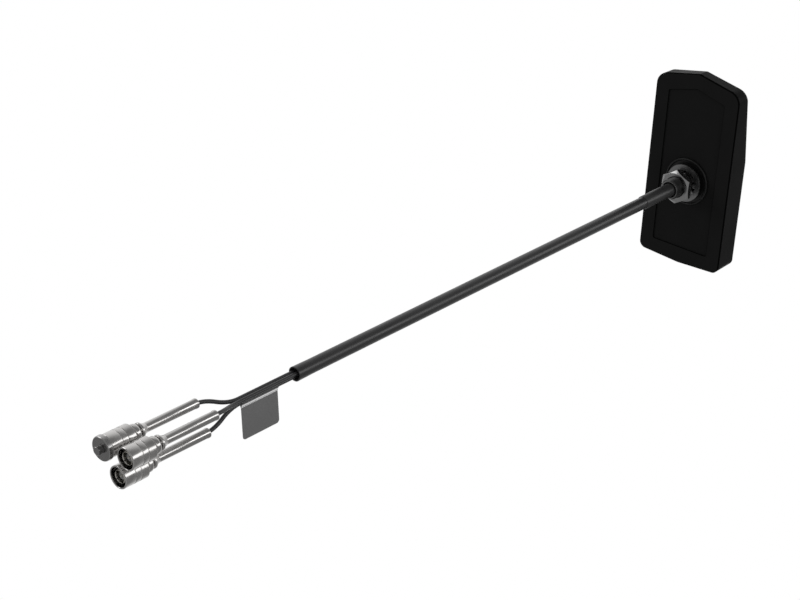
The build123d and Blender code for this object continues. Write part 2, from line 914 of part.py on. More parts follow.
# Cable
write(cable_grommet(), "cable_grommet")
write(strain_relief(), "strain_relief")
write(cable_sleeve(), "cable_sleeve")
write(label_flag(), "label_flag")
for number in range(3):
    write(coax_lead(number), "coax_lead_" + str(number + 1))

# Plugs
plug_makers = {
    "release_sleeve": release_sleeve,
    "plug_body": plug_body,
    "outer_contact": outer_contact,
    "insulator": insulator,
    "centre_pin": centre_pin,
    "return_spring": return_spring,
    "crimp_ferrule": crimp_ferrule,
}
for node, maker in plug_makers.items():
    piece = maker()
    for number in range(3):
        write(at_plug(number, piece), node + "_" + str(number + 1))
write(at_plug(0, end_cap()), "end_cap")
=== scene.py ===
# %% [markdown]
# # A low-profile antenna on a hollow stud
#
# The object is a black wedge-nosed antenna housing, seen from below. A hollow stud comes out of its
# flat underside, with a toothed washer and a thin nut on it. One sleeved cable leaves the stud and
# ends in three coaxial leads with push-pull plugs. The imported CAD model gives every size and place,
# and this script gives the object its finish: it keeps the CAD pieces whose form is already right and
# models the thread, the rounded edges, the cable and the turned plugs again in finer form.

import json
import math

import bmesh
import bpy
from mathutils import Matrix, Vector

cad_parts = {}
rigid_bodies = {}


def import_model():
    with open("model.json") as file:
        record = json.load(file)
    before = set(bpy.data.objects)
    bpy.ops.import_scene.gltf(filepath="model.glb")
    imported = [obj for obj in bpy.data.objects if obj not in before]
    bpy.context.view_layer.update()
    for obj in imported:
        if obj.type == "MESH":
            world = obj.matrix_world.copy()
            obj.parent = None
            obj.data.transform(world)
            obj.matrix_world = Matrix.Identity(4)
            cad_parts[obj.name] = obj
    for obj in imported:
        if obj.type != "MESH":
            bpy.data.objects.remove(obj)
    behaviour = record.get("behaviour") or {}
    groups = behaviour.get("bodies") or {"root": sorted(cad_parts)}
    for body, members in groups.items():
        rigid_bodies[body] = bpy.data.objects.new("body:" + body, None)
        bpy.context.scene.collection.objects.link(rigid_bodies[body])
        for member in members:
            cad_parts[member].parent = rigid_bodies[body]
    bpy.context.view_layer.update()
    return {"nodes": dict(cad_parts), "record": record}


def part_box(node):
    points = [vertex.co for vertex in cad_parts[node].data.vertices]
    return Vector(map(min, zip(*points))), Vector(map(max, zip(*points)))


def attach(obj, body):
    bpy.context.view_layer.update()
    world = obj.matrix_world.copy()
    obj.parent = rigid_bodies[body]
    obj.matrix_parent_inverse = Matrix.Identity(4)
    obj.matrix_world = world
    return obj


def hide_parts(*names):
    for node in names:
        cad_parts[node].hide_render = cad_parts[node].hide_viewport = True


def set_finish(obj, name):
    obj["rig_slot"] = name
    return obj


MM = 0.001
ROOT = "antenna"

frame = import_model()
nodes = frame["nodes"]
slot_of = {row["node"]: row["material_slot"] for row in frame["record"]["subparts"]}

# %% [markdown]
# ## Camera
# The photograph looks up at the underside from beside the plugs, with a long lens, so near and far
# parts keep almost the same scale. The camera's place and its three axes were worked out from the
# outline of the housing and the straight run of the cable. Writing the axes out as a matrix keeps the
# view exact, where a tracking constraint would need a guessed roll.

# %% Camera
camera_place = Vector((-0.6698, 0.5429, -1.1125))
camera_right = Vector((-0.74453, 0.03568, 0.66663))
camera_up = Vector((0.32843, 0.88894, 0.31924))
camera_back = camera_right.cross(camera_up)
long_lens = 80.0
film_width = 36.0
far_end = 20.0

camera_data = bpy.data.cameras.new("camera")
camera_data.lens = long_lens
camera_data.sensor_width = film_width
camera_data.clip_end = far_end
camera = bpy.data.objects.new("camera", camera_data)
bpy.context.collection.objects.link(camera)
turn = Matrix((camera_right, camera_up, camera_back)).transposed()
camera.matrix_world = Matrix.Translation(camera_place) @ turn.to_4x4()
bpy.context.scene.camera = camera
print("camera looks along", [round(-v, 3) for v in camera_back])

# %% [markdown]
# ## A piece and its soft edges
# A new piece starts as a bmesh and becomes an object with smooth faces, which stay sharp only where
# the surface turns a corner. A live bevel then rounds the corners, because a machined or moulded edge
# always catches a thin line of light, and a knife-sharp computer edge never does.

# %% New piece, soft edges
corner_angle = 38.0


def new_object(name, bm, smooth_angle=corner_angle):
    """Turns a bmesh into an object with smooth faces and sharp corners kept."""
    mesh = bpy.data.meshes.new(name)
    bm.to_mesh(mesh)
    bm.free()
    mesh.shade_smooth()
    mesh.set_sharp_from_angle(angle=math.radians(smooth_angle))
    piece = bpy.data.objects.new(name, mesh)
    bpy.context.collection.objects.link(piece)
    return piece


def soft_edges(piece, width, segments=3, angle=corner_angle):
    """Rounds a piece's corners with a live bevel that keeps the flat faces flat."""
    bevel = piece.modifiers.new("soft_edges", "BEVEL")
    bevel.width = width
    bevel.segments = segments
    bevel.limit_method = "ANGLE"
    bevel.angle_limit = math.radians(angle)
    bevel.harden_normals = True
    return piece


print("corners turn more than", corner_angle, "degrees")

# %% [markdown]
# ## Turned pieces
# Most pieces here are turned parts or tubes. One helper draws a half profile as a few joined vertices
# and spins it once round, as a lathe would. Given a rise, the same spin follows a helix, which makes a
# thread. A third helper gives the points of a round stretch of a profile.

# %% Lathe helpers
lathe_steps = 72
weld_gap = 1e-7


def spin_profile(bm, profile, steps=lathe_steps, rise=0.0, turns=1):
    """Spins a closed half profile of (radius, z) points round Z, or along a helix when it rises."""
    verts = [bm.verts.new((r, 0, z)) for r, z in profile]
    edges = [bm.edges.new(pair) for pair in zip(verts, verts[1:])]
    edges.append(bm.edges.new((verts[-1], verts[0])))
    bmesh.ops.spin(
        bm, geom=verts + edges, cent=(0, 0, 0), axis=(0, 0, 1), dvec=(0, 0, rise / steps),
        angle=math.tau * turns, steps=round(steps * turns), use_merge=rise == 0, use_duplicate=False,
    )


def lathe(name, profile, edge=0.0, place=(0, 0), steps=lathe_steps):
    """A turned piece from (radius, z) points in metres, with its corners softened."""
    bm = bmesh.new()
    spin_profile(bm, profile, steps)
    bmesh.ops.remove_doubles(bm, verts=bm.verts, dist=weld_gap)
    bmesh.ops.recalc_face_normals(bm, faces=bm.faces)
    bmesh.ops.translate(bm, verts=bm.verts, vec=(place[0], place[1], 0))
    piece = new_object(name, bm)
    return soft_edges(piece, edge) if edge > 0 else piece


def arc(centre_r, centre_z, radius, start, end, steps):
    """Points along a round stretch of a half profile; the angles are in degrees."""
    turns = [math.radians(start + (end - start) * i / steps) for i in range(steps + 1)]
    return [(centre_r + radius * math.cos(a), centre_z + radius * math.sin(a)) for a in turns]


print("a turned piece has", lathe_steps, "steps round")

# %% [markdown]
# ## Finer copies of CAD pieces
# A CAD mesh is a set of loose triangles. Where a piece's form is already right, it is copied, its
# triangles are joined into whole faces, and only its edges change. The last helper puts a finished
# piece in the place of its CAD node, with that node's finish and on that node's body.

# %% Copy helpers
flat_angle = 0.5
loose_gap = 1e-6


def whole_faces(bm):
    """Joins the loose triangles of a CAD mesh into whole faces."""
    bmesh.ops.remove_doubles(bm, verts=bm.verts, dist=loose_gap)
    bmesh.ops.dissolve_limit(
        bm, angle_limit=math.radians(flat_angle), use_dissolve_boundaries=False,
        verts=bm.verts, edges=bm.edges,
    )


def round_off(bm, edges, size, segments=4):
    """Rounds the chosen edges in the mesh itself."""
    bmesh.ops.bevel(
        bm, geom=edges, offset=size, offset_type="OFFSET", affect="EDGES",
        segments=segments, profile=0.5, material=-1, clamp_overlap=True,
    )


def softened(node, name, width, angle=corner_angle):
    """A finer copy of a CAD piece with its sharp edges rounded."""
    bm = bmesh.new()
    bm.from_mesh(nodes[node].data)
    whole_faces(bm)
    return soft_edges(new_object(name, bm), width, angle=angle)


def stand_in(piece, node, body=ROOT):
    """The piece takes the place and the finish of a CAD node and moves with its body."""
    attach(piece, body)
    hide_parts(node)
    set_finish(piece, slot_of[node])
    return piece


print("faces within", flat_angle, "degrees are joined")

# %% [markdown]
# ## Housing
# The cover and the base are two mouldings that meet at a fine parting line. The CAD pieces carry their
# form. Here the base's rim and the edge of its shallow pocket are rounded, as the mould leaves them,
# which turns the hard lines of the CAD model into the soft dark ones of the photograph. The rim is
# rounded on both sides, so that a dark groove runs round the housing where the two mouldings meet. The
# edges are chosen by where they lie, so the seal groove and the ribs inside stay as they are.

# %% Base plate
base_corner_angle = 30.0
face_rounding = 0.75 * MM
rim_rounding = 0.6 * MM
parting_z = 1.6 * MM
wall_foot = 0.4 * MM
level_slack = 0.02 * MM


def level_edges(bm, height):
    """The corner edges that lie at one height."""
    return [
        e for e in bm.edges
        if all(abs(v.co.z - height) < level_slack for v in e.verts)
        and len(e.link_faces) == 2 and e.calc_face_angle(0) > math.radians(base_corner_angle)
    ]


bm = bmesh.new()
bm.from_mesh(nodes["base_plate"].data)
whole_faces(bm)
rim_edges = [
    e for e in level_edges(bm, parting_z)
    if any(v.co.z < wall_foot for f in e.link_faces for v in f.verts)
]
round_off(bm, rim_edges, rim_rounding)
face_edges = level_edges(bm, 0.0)
round_off(bm, face_edges, face_rounding)
print("base: rim edges", len(rim_edges), "face edges", len(face_edges))

# %% [markdown]
# ## Where the base lies in shade
# Light hardly reaches the groove at the parting line or the wall of the pocket, and the photograph
# shows both as dark lines, so shade is painted into the base's colour there. The finish has to know
# where they are. An attribute, one number at each vertex, tells it: 1 on the base's outer wall and on
# the pocket's wall, 0 on the flat faces. Painting it by which way the faces look is quicker and truer
# than choosing faces by hand.

# %% Shade attribute
pocket_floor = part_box("mounting_gasket")[1].z
steep = 0.2

bm.normal_update()
# The rim attribute marks where shade is painted into the base's colour.
painted_shade_layer = bm.verts.layers.float.new("rim")
for vert in bm.verts:
    outwards = vert.co.xy.normalized()
    faces_out = any(face.normal.xy.dot(outwards) > steep for face in vert.link_faces)
    faces_in = any(face.normal.xy.dot(outwards) < -steep for face in vert.link_faces)
    in_pocket = faces_in and vert.co.z < pocket_floor - level_slack
    vert[painted_shade_layer] = 1.0 if vert.co.z > level_slack and (faces_out or in_pocket) else 0.0
shaded = sum(1 for vert in bm.verts if vert[painted_shade_layer] > 0)
base = stand_in(new_object("base", bm, smooth_angle=base_corner_angle), "base_plate")
print("base: faces", len(base.data.polygons), "vertices in shade", shaded)

# %% [markdown]
# ## Mounting gasket
# A moulded rubber ring lies in the pocket. Its outer lip is a half round that presses on the panel,
# and that lip catches the one thin arc of light in the photograph. It is a turned shape, so its
# profile is drawn with arcs and spun.

# %% Gasket
gasket_steps = 96
gasket_bore = 8.5 * MM
inner_lip_end = 11.5 * MM
inner_lip_z = -0.7 * MM
inner_lip_edge = 0.4 * MM
web_z = 0.2 * MM
web_edge = 0.5 * MM
lip_middle = 18.2 * MM
lip_half = 0.75 * MM
lip_z = -1.1 * MM

gasket = lathe("gasket", [
    (gasket_bore, pocket_floor),
    *arc(gasket_bore + inner_lip_edge, inner_lip_z + inner_lip_edge, inner_lip_edge, 180, 270, 4),
    *arc(inner_lip_end - inner_lip_edge, inner_lip_z + inner_lip_edge, inner_lip_edge, 270, 360, 4),
    *arc(lip_middle - lip_half - web_edge, web_z - web_edge, web_edge, 90, 0, 4),
    *arc(lip_middle, lip_z + lip_half, lip_half, 180, 360, 12),
    (lip_middle + lip_half, pocket_floor),
], steps=gasket_steps)
stand_in(gasket, "mounting_gasket")
print("gasket faces:", len(gasket.data.polygons))

# %% [markdown]
# ## Threaded stud
# The stud is a plated tube with a flange inside the housing, a fine rolled thread and one flat milled
# along it, which keeps it from turning in the panel. The core is turned at the thread's root.

# %% Stud core
stud_low, stud_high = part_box("threaded_stud")
stud_radius = 8.0 * MM
stud_bore = 6.0 * MM
stud_tip = stud_low.z
flange_radius = stud_high.x
flange_thickness = 2.0 * MM
flange_low = stud_high.z - flange_thickness
thread_depth = 0.9 * MM
thread_root = stud_radius - thread_depth
tip_edge = 0.35 * MM
throat_edge = 1.0 * MM

bm = bmesh.new()
spin_profile(bm, [
    (stud_bore, stud_tip + tip_edge),
    (stud_bore + tip_edge, stud_tip),
    (thread_root - tip_edge / 2, stud_tip),
    (thread_root, stud_tip + tip_edge / 2),
    (thread_root, flange_low),
    (flange_radius, flange_low),
    (flange_radius, stud_high.z),
    (stud_bore + throat_edge, stud_high.z),
    (stud_bore, stud_high.z - throat_edge),
])
print("stud core faces:", len(bm.faces))

# %% [markdown]
# ## The thread and its flat
# The thread is one ridge profile spun along a helix, with a small rise at every step. A screw modifier
# could do it too, but a spin leaves plain faces that can be cut at once by the plane of the flat. The
# ridge's foot sinks a little into the core. The cut and the two ends are closed again, so the ridge is
# a solid like the real one.

# %% Thread
thread_corner_angle = 28.0
thread_pitch = 1.5 * MM
thread_steps = 48
thread_turns = math.floor((flange_low - stud_tip) / thread_pitch) - 1
ridge_foot = thread_root - 0.05 * MM
ridge_start = 0.10 * MM
ridge_crest = (0.60 * MM, 0.78 * MM)
ridge_end = 1.28 * MM
root_slack = 0.01 * MM
stud_flat = 7.2 * MM

spin_profile(bm, [
    (ridge_foot, stud_tip + ridge_start),
    (stud_radius, stud_tip + ridge_crest[0]),
    (stud_radius, stud_tip + ridge_crest[1]),
    (ridge_foot, stud_tip + ridge_end),
], steps=thread_steps, rise=thread_pitch, turns=thread_turns)
bmesh.ops.remove_doubles(bm, verts=bm.verts, dist=weld_gap)


def on_ridge(face):
    """Tells the faces of the thread's ridge from those of the core and the flange."""
    middle = face.calc_center_median()
    return middle.xy.length > thread_root + root_slack and middle.z < flange_low


ridge = [f for f in bm.faces if on_ridge(f)]
ridge_verts = list(dict.fromkeys(v for f in ridge for v in f.verts))
ridge_edges = list(dict.fromkeys(e for f in ridge for e in f.edges))
bmesh.ops.bisect_plane(
    bm, geom=ridge_verts + ridge_edges + ridge, plane_co=(-stud_flat, 0, 0),
    plane_no=(-1, 0, 0), clear_outer=True, clear_inner=False, dist=weld_gap,
)
bmesh.ops.holes_fill(bm, edges=[e for e in bm.edges if e.is_boundary], sides=0)
bmesh.ops.recalc_face_normals(bm, faces=bm.faces)
still_open = sum(1 for e in bm.edges if e.is_boundary)
stud = stand_in(new_object("stud", bm, smooth_angle=thread_corner_angle), "threaded_stud")
print("stud: thread turns", thread_turns, "faces", len(stud.data.polygons), "open edges", still_open)

# %% [markdown]
# ## Nut and lock washer
# The thin nut is turned from hexagon bar, so its corners are cut back by a cone on both faces. The
# washer is stamped and its inner teeth are twisted to bite. Both keep their CAD form, and a fine bevel
# on the edges gives the bright chamfer lines that the photograph shows.

# %% Nut and washer
nut_edge = 0.3 * MM
nut_corner_angle = 24.0
washer_edge = 0.1 * MM

nut = stand_in(softened("hex_nut", "nut", nut_edge, angle=nut_corner_angle), "hex_nut")
washer = stand_in(softened("lock_washer", "washer", washer_edge), "lock_washer")
print("nut and washer faces:", len(nut.data.polygons), len(washer.data.polygons))

# %% [markdown]
# ## Where the leads run
# Each lead is a thin coaxial cable. It is soldered on the board inside the housing, turns down
# through the hollow stud, runs straight in a tight bundle and then swings out to its own plug. The
# points are those of the CAD model's route, with one more near each long run's corner so that the
# curve turns there and not half way along.

# %% Lead routes
lead_radius = 1.35 * MM
lead_angles = (30.0, 150.0, 270.0)
bundle_gap = 0.09 * MM
bundle_radius = 2 / math.sqrt(3) * lead_radius + bundle_gap
lead_inner_end = 24.0 * MM
lead_level = 12.6 * MM
lead_turn_run = 22.35 * MM
fork_z = -487.0 * MM
fork_run = 16.0 * MM
join_z = -500.0 * MM
lead_end_z = -532.45 * MM
plug_places = ((9.8 * MM, 5.2 * MM), (-7.2 * MM, 4.4 * MM), (0.0, -10.9 * MM))


def lead_route(index):
    """The control points of one lead, from the board to its plug."""
    angle = math.radians(lead_angles[index])
    out = Vector((math.cos(angle), math.sin(angle), 0))
    run = bundle_radius * out
    plug_x, plug_y = plug_places[index]
    return [
        lead_inner_end * out + Vector((0, 0, lead_level)),
        run + Vector((0, 0, lead_level)),
        run + Vector((0, 0, lead_level - lead_turn_run)),
        run + Vector((0, 0, fork_z + fork_run)),
        run + Vector((0, 0, fork_z)),
        Vector((plug_x, plug_y, join_z)),
        Vector((plug_x, plug_y, join_z - fork_run)),
        Vector((plug_x, plug_y, lead_end_z)),
    ]


print("bundle radius:", round(bundle_radius / MM, 2), "mm")

# %% [markdown]
# ## The three leads
# A NURBS curve with a round bevel is the natural way to model a cord: the route has few points, the
# line is smooth, and the section stays the same all along. Each point carries the cord's radius and
# the bevel has a depth of 1, so that whoever measures the curve finds its real thickness.

# %% Leads
def cord_curve(name, points, radius):
    """A smooth round cord through control points."""
    data = bpy.data.curves.new(name, "CURVE")
    data.dimensions = "3D"
    spline = data.splines.new("NURBS")
    spline.points.add(len(points) - 1)
    for point, place in zip(spline.points, points):
        point.co = (*place, 1.0)
        point.radius = radius
    spline.order_u = 3
    spline.use_endpoint_u = True
    spline.resolution_u = 24
    data.bevel_depth = 1.0
    data.bevel_resolution = 7
    data.use_fill_caps = True
    cord = bpy.data.objects.new(name, data)
    bpy.context.collection.objects.link(cord)
    return cord


leads = [cord_curve("lead_%d" % (i + 1), lead_route(i), lead_radius) for i in range(3)]
for number, lead in enumerate(leads, 1):
    stand_in(lead, "coax_lead_%d" % number)
print("leads:", [lead.name for lead in leads])

# %% [markdown]
# ## Cable sleeve and strain relief
# A smooth black tube keeps the leads together from the stud to a little before the plugs. Its lower
# mouth is open and slightly flared, and the leads are seen inside it. Where it leaves the stud a second,
# shrunk tube grips it and ends in a small step. Both are hollow turned tubes with rounded lips.

# %% Sleeve and strain relief
sleeve_low, sleeve_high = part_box("cable_sleeve")
sleeve_radius = 4.7 * MM
sleeve_bore = 3.75 * MM
sleeve_top = sleeve_high.z
sleeve_mouth = sleeve_low.z
sleeve_edge = 0.22 * MM
flare_length = 14.0 * MM
flare_radius = sleeve_high.x
flare_top = sleeve_mouth + flare_length
flare_bore = sleeve_bore + flare_radius - sleeve_radius

relief_low, relief_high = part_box("strain_relief")
relief_radius = relief_high.x
relief_gap = 0.02 * MM
relief_fit = sleeve_radius + relief_gap
relief_seat = sleeve_top + relief_gap
relief_lip_drop = 0.37 * MM
relief_lip_length = 0.85 * MM
relief_edge = 0.1 * MM

sleeve = stand_in(lathe("sleeve", [
    (sleeve_bore, sleeve_top),
    (sleeve_radius, sleeve_top),
    (sleeve_radius, flare_top),
    (flare_radius, sleeve_mouth),
    (flare_bore, sleeve_mouth),
    (sleeve_bore, flare_top),
], edge=sleeve_edge), "cable_sleeve")
relief = stand_in(lathe("relief", [
    (sleeve_bore, relief_high.z),
    (relief_radius, relief_high.z),
    (relief_radius, relief_low.z + relief_lip_length),
    (relief_radius - relief_lip_drop, relief_low.z),
    (relief_fit, relief_low.z),
    (relief_fit, relief_seat),
    (sleeve_bore, relief_seat),
], edge=relief_edge), "strain_relief")
print("sleeve length:", round((sleeve_top - sleeve_mouth) / MM), "mm")

# %% [markdown]
# ## Plug barrels
# The plugs are turned brass with a bright plate. The barrel slides over the plug's body and has two grip
# grooves. Each groove slopes in from the front and ends in a steep step, and the slope is the fine
# bright line across the barrel. All numbers along a plug are measured back from its front.

# %% Barrel profile
plug_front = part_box("release_sleeve_2")[0].z
barrel_r = 7.35 * MM
barrel_length = 17.6 * MM
barrel_edge = 0.3 * MM
mouth_r = 6.3 * MM
mouth_edge = 0.2 * MM
mouth_depth = 10.5 * MM
guide_bore = 4.85 * MM
grip_grooves = (7.2 * MM, 11.4 * MM)
groove_length = 0.75 * MM
groove_slope = 0.66 * MM
groove_depth = 0.24 * MM
spring_room_r = 5.85 * MM
spring_room_front = 12.0 * MM
spring_room_rear = 16.25 * MM

barrel_profile = [
    (mouth_r + mouth_edge, 0.0),
    (barrel_r - barrel_edge, 0.0),
    (barrel_r, barrel_edge),
]
for start in grip_grooves:
    barrel_profile += [
        (barrel_r, start),
        (barrel_r - groove_depth, start + groove_slope),
        (barrel_r, start + groove_length),
    ]
barrel_profile += [
    (barrel_r, barrel_length - barrel_edge),
    (barrel_r - barrel_edge, barrel_length),
    (guide_bore, barrel_length),
    (guide_bore, spring_room_rear),
    (spring_room_r, spring_room_rear),
    (spring_room_r, spring_room_front),
    (guide_bore, spring_room_front),
    (guide_bore, mouth_depth),
    (mouth_r, mouth_depth),
    (mouth_r, mouth_edge),
]
print("barrel points:", len(barrel_profile))

# %% [markdown]
# ## Plug bodies
# The body shows behind the barrel as a domed collar, a narrower ring and a waist. The domes are arcs in
# the profile, because their round highlights are what makes the plugs look turned. In front the body
# is a plain tube that guides the barrel, and behind it ends in a thin stem for the ferrule.

# %% Body profile
guide_r = 4.75 * MM
guide_front = 9.0 * MM
contact_seat_r = 4.25 * MM
contact_seat_end = 13.05 * MM
insulator_seat_r = 3.75 * MM
insulator_seat_end = 21.0 * MM
collar_r = 5.55 * MM
collar_start = 18.85 * MM
collar_end = 23.45 * MM
collar_front_edge = 1.0 * MM
collar_dome = 2.2 * MM
waist_r = 3.3 * MM
ring_r = 4.9 * MM
ring_start = 24.05 * MM
ring_end = 25.95 * MM
ring_edge = 0.7 * MM
neck_r = 3.5 * MM
neck_taper = 1.5 * MM
neck_end = 29.35 * MM
ferrule_r = 3.0 * MM
stem_r = 2.3 * MM
stem_bore = 1.0 * MM
stem_end = neck_end + 12.0 * MM

body_profile = [
    (contact_seat_r, guide_front),
    (guide_r, guide_front),
    (guide_r, collar_start),
    *arc(collar_r - collar_front_edge, collar_start + collar_front_edge, collar_front_edge, 270, 360, 5),
    *arc(collar_r - collar_dome, collar_end - collar_dome, collar_dome, 0, 90, 8),
    (waist_r, collar_end),
    (waist_r, ring_start),
    *arc(ring_r - ring_edge, ring_start + ring_edge, ring_edge, 270, 360, 5),
    *arc(ring_r - ring_edge, ring_end - ring_edge, ring_edge, 0, 90, 5),
    (neck_r, ring_end + neck_taper),
    (ferrule_r, neck_end),
    (stem_r, neck_end),
    (stem_r, stem_end),
    (stem_bore, stem_end),
    (stem_bore, insulator_seat_end),
    (insulator_seat_r, insulator_seat_end),
    (insulator_seat_r, contact_seat_end),
    (contact_seat_r, contact_seat_end),
]
print("body points:", len(body_profile))

# %% [markdown]
# ## Crimp ferrules
# A long ferrule is crimped over the stem and the lead, and ends in a low rim. Its bore is wide over the
# stem and closes to the lead behind it.

# %% Ferrule profile
ferrule_rim_r = 3.2 * MM
ferrule_rim_length = 1.6 * MM
ferrule_rim_slope = 1.9 * MM
ferrule_edge = 0.3 * MM
ferrule_end = 69.0 * MM
stem_fit = 2.35 * MM
lead_fit = 1.43 * MM
throat_start = neck_end + 13.5 * MM
throat_end = neck_end + 14.5 * MM

ferrule_profile = [
    (stem_fit, neck_end),
    (ferrule_r, neck_end),
    (ferrule_r, ferrule_end - ferrule_rim_slope),
    (ferrule_rim_r, ferrule_end - ferrule_rim_length),
    (ferrule_rim_r, ferrule_end - ferrule_edge),
    (ferrule_rim_r - ferrule_edge, ferrule_end),
    (lead_fit, ferrule_end),
    (lead_fit, throat_end),
    (stem_fit, throat_start),
]
print("ferrule points:", len(ferrule_profile))

# %% [markdown]
# ## Make the plugs
# All three plugs are the same, so a loop turns each profile at each plug's place. The contact, the
# insulator, the pin and the springs inside keep their CAD form.

# %% Make the plugs
turned_edge = 0.08 * MM
body_edge = 0.06 * MM


def raised(profile):
    """A profile measured back from the plug's front, as heights in the frame."""
    return [(r, plug_front + z) for r, z in profile]


for number, place in enumerate(plug_places, 1):
    barrel = lathe("barrel_%d" % number, raised(barrel_profile), turned_edge, place)
    stand_in(barrel, "release_sleeve_%d" % number, "barrel_%d" % number)
    body = lathe("plug_%d" % number, raised(body_profile), body_edge, place)
    stand_in(body, "plug_body_%d" % number)
    ferrule = lathe("ferrule_%d" % number, raised(ferrule_profile), turned_edge, place)
    stand_in(ferrule, "crimp_ferrule_%d" % number)

# %% [markdown]
# ## End cap
# One plug is closed with a turned metal cap: a disc a little wider than the barrel, with a small knob
# to pull it off by and a spigot that grips the contact. The disc tapers a little towards its front, so
# its side catches the light apart from the barrel's, and the edges are cut crisp.

# %% End cap
cap_r = 7.95 * MM
cap_back = -0.3 * MM
cap_front = -3.7 * MM
cap_taper = 0.22 * MM
cap_front_edge = 0.5 * MM
cap_back_edge = 0.3 * MM
spigot_r = 6.15 * MM
spigot_end = 4.0 * MM
grip_r = 4.4 * MM
knob_r = 2.7 * MM
knob_neck = 2.3 * MM
knob_start = -4.5 * MM
knob_end = -6.9 * MM
knob_edge = 0.3 * MM

cap = lathe("cap", raised([
    (0.0, knob_end),
    (knob_r - knob_edge, knob_end),
    (knob_r, knob_end + knob_edge),
    (knob_r, knob_start - knob_edge),
    (knob_neck, knob_start),
    (knob_neck, cap_front),
    (cap_r - cap_taper - cap_front_edge, cap_front),
    (cap_r - cap_taper, cap_front + cap_front_edge),
    (cap_r, cap_back - cap_back_edge),
    (cap_r - cap_back_edge, cap_back),
    (spigot_r, cap_back),
    (spigot_r, spigot_end),
    (grip_r, spigot_end),
    (grip_r, cap_back),
    (0.0, cap_back),
]), turned_edge, plug_places[0])
stand_in(cap, "end_cap")
print("cap faces:", len(cap.data.polygons))

# %% [markdown]
# ## The label's section
# The label is a strip of film that goes round the third lead and sticks to itself, so its section is a
# drop: an arc round the lead, two straight runs that meet, and a double layer from there on. The drop
# is drawn as two outlines of arcs and straight lines, one outside the film and one inside its loop.

# %% Label section
flag_film = 0.1 * MM
flag_gap = 0.03 * MM
flag_loop_r = lead_radius + flag_gap
flag_outer_r = flag_loop_r + flag_film
flag_meet = 3.6 * MM
flag_drop = 25.5 * MM
loop_steps = 28

outer_angle = math.degrees(math.acos(flag_outer_r / flag_meet))
inner_angle = math.degrees(math.acos(flag_loop_r / (flag_meet - flag_film)))
outside = [
    (flag_film, -flag_drop),
    (flag_film, -flag_meet),
    *arc(0, 0, flag_outer_r, outer_angle - 90, 270 - outer_angle, loop_steps),
    (-flag_film, -flag_meet),
    (-flag_film, -flag_drop),
]
inside = [
    (0, flag_film - flag_meet),
    *arc(0, 0, flag_loop_r, 270 - inner_angle, inner_angle - 90, loop_steps),
]
print("label section points:", len(outside), len(inside))

# %% [markdown]
# ## Label flag
# The section is filled between its two outlines and extruded along the lead. The two lower corners are
# rounded with a bevel, and the film's edges are left thin and square as cut film is. Last, the flag is
# turned a little and moved onto its lead.

# %% Label
flag_low, flag_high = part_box("label_flag")
flag_turn = math.radians(-4.5)
flag_corner = 2.2 * MM
flag_corner_steps = 8
flag_smooth_angle = 50.0
same_place = 0.001 * MM

bm = bmesh.new()
rings = []
for outline in (outside, inside):
    verts = [bm.verts.new((x, y, flag_low.z)) for x, y in outline]
    rings += [bm.edges.new(pair) for pair in zip(verts, verts[1:] + verts[:1])]
section = bmesh.ops.triangle_fill(bm, edges=rings, use_beauty=True)
faces = [f for f in section["geom"] if isinstance(f, bmesh.types.BMFace)]
pulled = bmesh.ops.extrude_face_region(bm, geom=faces)
moved = [v for v in pulled["geom"] if isinstance(v, bmesh.types.BMVert)]
bmesh.ops.translate(bm, verts=moved, vec=(0, 0, flag_high.z - flag_low.z))
bmesh.ops.dissolve_limit(bm, angle_limit=math.radians(flat_angle), verts=bm.verts, edges=bm.edges)
corners = [
    e for e in bm.edges
    if all(v.co.y < same_place - flag_drop for v in e.verts)
    and abs(e.verts[0].co.z - e.verts[1].co.z) < same_place
]
round_off(bm, corners, flag_corner, flag_corner_steps)
bmesh.ops.recalc_face_normals(bm, faces=bm.faces)
bmesh.ops.rotate(bm, verts=bm.verts, cent=(0, 0, 0), matrix=Matrix.Rotation(flag_turn, 3, "Z"))
bmesh.ops.translate(bm, verts=bm.verts, vec=(0, -bundle_radius, 0))
flag = stand_in(new_object("flag", bm, smooth_angle=flag_smooth_angle), "label_flag")
print("label faces:", len(flag.data.polygons), "corners", len(corners))

# %% [markdown]
# ## The free cords
# The sleeve and the three leads are cords that hang from the stud. The label flag is looped round the
# third lead.

print("cords declared:", 1 + len(leads))

# %% [markdown]
# ## The studio's reflections
# The photograph has a white background and an even, rather dim studio, which is why the metal is mid
# grey with one pale streak. Reflections find a grey room that turns white behind the object, a little
# to the left, so that each plug is pale at its upper edge and dark under its middle. The dot product
# of a ray's direction with the backdrop's tells how near the ray comes to it, and a smooth step turns
# that into the change from grey to white.

# %% World
room_grey = 0.22
backdrop_white = 0.98
backdrop_way = Vector((0.727, -0.128, 0.674))
backdrop_spread = (0.1, 0.95)

scene = bpy.context.scene
scene.view_settings.view_transform = "Standard"
world = bpy.data.worlds.new("studio")
scene.world = world
world.use_nodes = True
tree = world.node_tree
tree.nodes.clear()
light_path = tree.nodes.new("ShaderNodeLightPath")
direction = tree.nodes.new("ShaderNodeTexCoord")
facing = tree.nodes.new("ShaderNodeVectorMath")
facing.operation = "DOT_PRODUCT"
facing.inputs[1].default_value = tuple(backdrop_way)
tree.links.new(direction.outputs["Generated"], facing.inputs[0])
backdrop = tree.nodes.new("ShaderNodeMapRange")
backdrop.interpolation_type = "SMOOTHSTEP"
backdrop.inputs["From Min"].default_value = backdrop_spread[0]
backdrop.inputs["From Max"].default_value = backdrop_spread[1]
backdrop.inputs["To Min"].default_value = room_grey
backdrop.inputs["To Max"].default_value = backdrop_white
tree.links.new(facing.outputs["Value"], backdrop.inputs["Value"])
print("reflections run from", room_grey, "to", backdrop_white)

